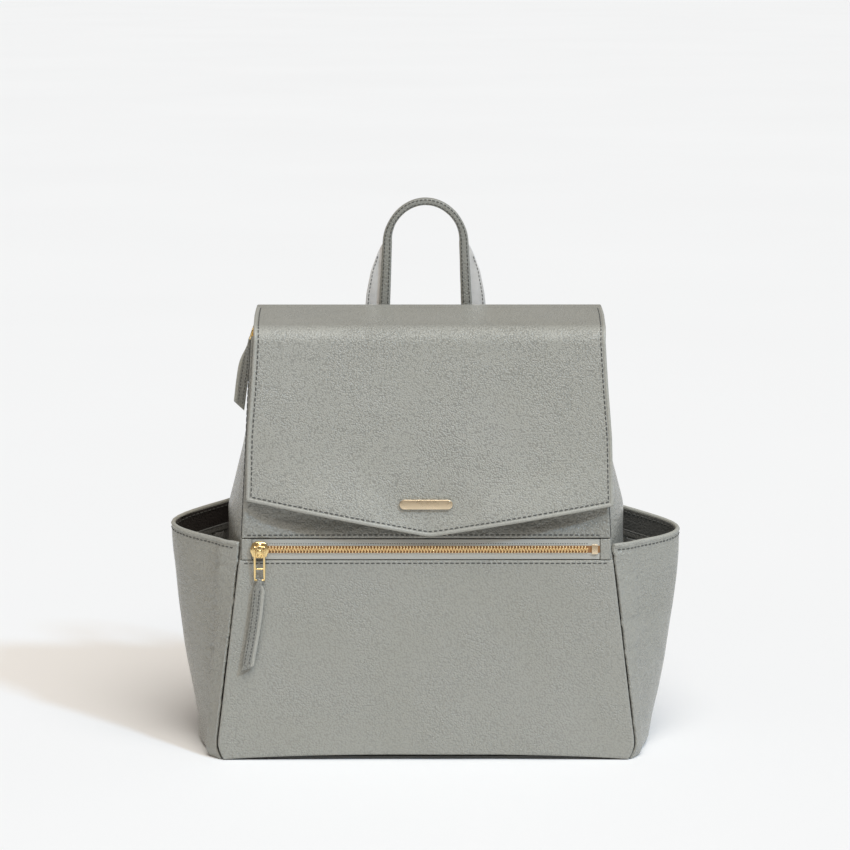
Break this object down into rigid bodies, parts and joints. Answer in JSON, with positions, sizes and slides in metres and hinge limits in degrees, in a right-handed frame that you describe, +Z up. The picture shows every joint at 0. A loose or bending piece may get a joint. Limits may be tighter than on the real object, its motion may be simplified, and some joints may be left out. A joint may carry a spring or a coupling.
{
  "type": "diaper backpack",
  "caption": "Flap-top leather-look backpack with side pockets, a zipped front pocket, a zipped mouth, a top handle and padded shoulder straps.",
  "frame": {"origin": "on the floor, under the middle of the whole bag's box", "axes": "+Z up, +X to the right seen from the front, the front panel faces -Y"},
  "size_m": [0.433, 0.184, 0.456],
  "materials": {
    "leather": "pebbled grey faux leather, soft satin",
    "leather_dark": "smooth dark facing leather",
    "lining": "fine satin lining cloth",
    "board": "matt stiffener board",
    "foam": "felt-faced foam",
    "tape": "woven zip tape",
    "webbing": "woven webbing",
    "gold": "polished pale gold plating",
    "elastic": "covered elastic"
  },
  "bodies": {
    "bag": {"front_panel": "leather", "front_upper_panel": "leather", "zip_facings": "leather", "back_panel": "leather", "gusset_left": "leather", "gusset_right": "leather", "base_panel": "leather", "base_board": "board", "lining": "lining", "slip_pocket": "lining", "front_pocket_lining": "lining", "front_tape_upper": "tape", "front_tape_lower": "tape", "front_teeth_upper": "gold", "front_teeth_lower": "gold", "front_zip_stops": "gold", "snap_socket": "gold", "flap_anchor_strip": "leather", "yoke": "leather", "pocket_left": "leather", "pocket_right": "leather", "pocket_floors": "leather", "pocket_facing_left": "leather_dark", "pocket_facing_right": "leather_dark", "pocket_elastic_left": "elastic", "pocket_elastic_right": "elastic", "pocket_lining_left": "lining", "pocket_lining_right": "lining", "side_zip_left": "tape", "side_zip_right": "tape", "mouth_ends": "leather", "strap_left": "leather", "strap_right": "leather", "webbing_left": "webbing", "webbing_right": "webbing", "strap_anchor_left": "leather", "strap_anchor_right": "leather"},
    "mouth_front": {"mouth_strip_front": "leather", "main_teeth_front": "gold"},
    "mouth_back": {"mouth_strip_back": "leather", "main_teeth_back": "gold"},
    "flap_top": {"flap_top_leather": "leather", "flap_top_lining": "lining"},
    "flap_front": {"flap_front_leather": "leather", "flap_front_foam": "foam", "flap_front_lining": "lining", "snap_stud": "gold", "badge": "gold"},
    "front_slider": {"front_slider": "gold"},
    "front_link": {"front_link": "gold"},
    "front_tab": {"front_tab": "leather"},
    "main_slider": {"main_slider": "gold"},
    "main_link": {"main_link": "gold"},
    "main_tab": {"main_tab": "leather"},
    "handle": {"handle_grip": "leather", "handle_backing": "tape"},
    "adjuster_left": {"adjuster_left": "gold"},
    "adjuster_right": {"adjuster_right": "gold"}
  },
  "joints": [
    {"name": "flap_lift", "type": "hinge", "parent": "bag", "child": "flap_top", "pos_m": [0, 0.0615, 0.3604], "axis": [-1, 0, 0], "range_deg": [0, 90]},
    {"name": "flap_fold", "type": "hinge", "parent": "flap_top", "child": "flap_front", "pos_m": [0, -0.0602, 0.3605], "axis": [-1, 0, 0], "range_deg": [0, 110]},
    {"name": "mouth_front_open", "type": "hinge", "parent": "bag", "child": "mouth_front", "pos_m": [0, -0.0469, 0.3505], "axis": [-1, 0, 0], "range_deg": [0, 80]},
    {"name": "mouth_back_open", "type": "hinge", "parent": "bag", "child": "mouth_back", "pos_m": [0, 0.0559, 0.3505], "axis": [1, 0, 0], "range_deg": [0, 80]},
    {"name": "front_zip", "type": "slide", "parent": "bag", "child": "front_slider", "axis": [1, 0, 0], "range_m": [0, 0.262]},
    {"name": "front_pull_lift", "type": "hinge", "parent": "front_slider", "child": "front_link", "pos_m": [-0.1385, -0.07688, 0.17907], "axis": [-1, 0, 0], "range_deg": [0, 120]},
    {"name": "front_tab_swing", "type": "hinge", "parent": "front_link", "child": "front_tab", "pos_m": [-0.1385, -0.07785, 0.15109], "axis": [0, -0.9936, 0.1129], "range_deg": [-10, 15]},
    {"name": "main_zip", "type": "slide", "parent": "bag", "child": "main_slider", "axis": [-0.1585, 0, -0.9874], "range_m": [0, 0.04]},
    {"name": "main_pull_lift", "type": "hinge", "parent": "main_slider", "child": "main_link", "pos_m": [-0.14646, 0.0045, 0.35057], "axis": [0, 1, 0], "range_deg": [0, 110]},
    {"name": "main_tab_swing", "type": "hinge", "parent": "main_link", "child": "main_tab", "pos_m": [-0.14871, 0.0045, 0.34289], "axis": [-0.9874, 0, 0.1585], "range_deg": [-15, 15]},
    {"name": "handle_fold", "type": "hinge", "parent": "bag", "child": "handle", "pos_m": [0, 0.0716, 0.32], "axis": [-1, 0, 0], "range_deg": [0, 70]},
    {"name": "adjuster_left_slide", "type": "slide", "parent": "bag", "child": "adjuster_left", "axis": [-0.5156, -0.1018, -0.8508], "range_m": [0, 0.03]},
    {"name": "adjuster_right_slide", "type": "slide", "parent": "bag", "child": "adjuster_right", "axis": [0.5156, -0.1018, -0.8508], "range_m": [0, 0.03]}
  ]
}
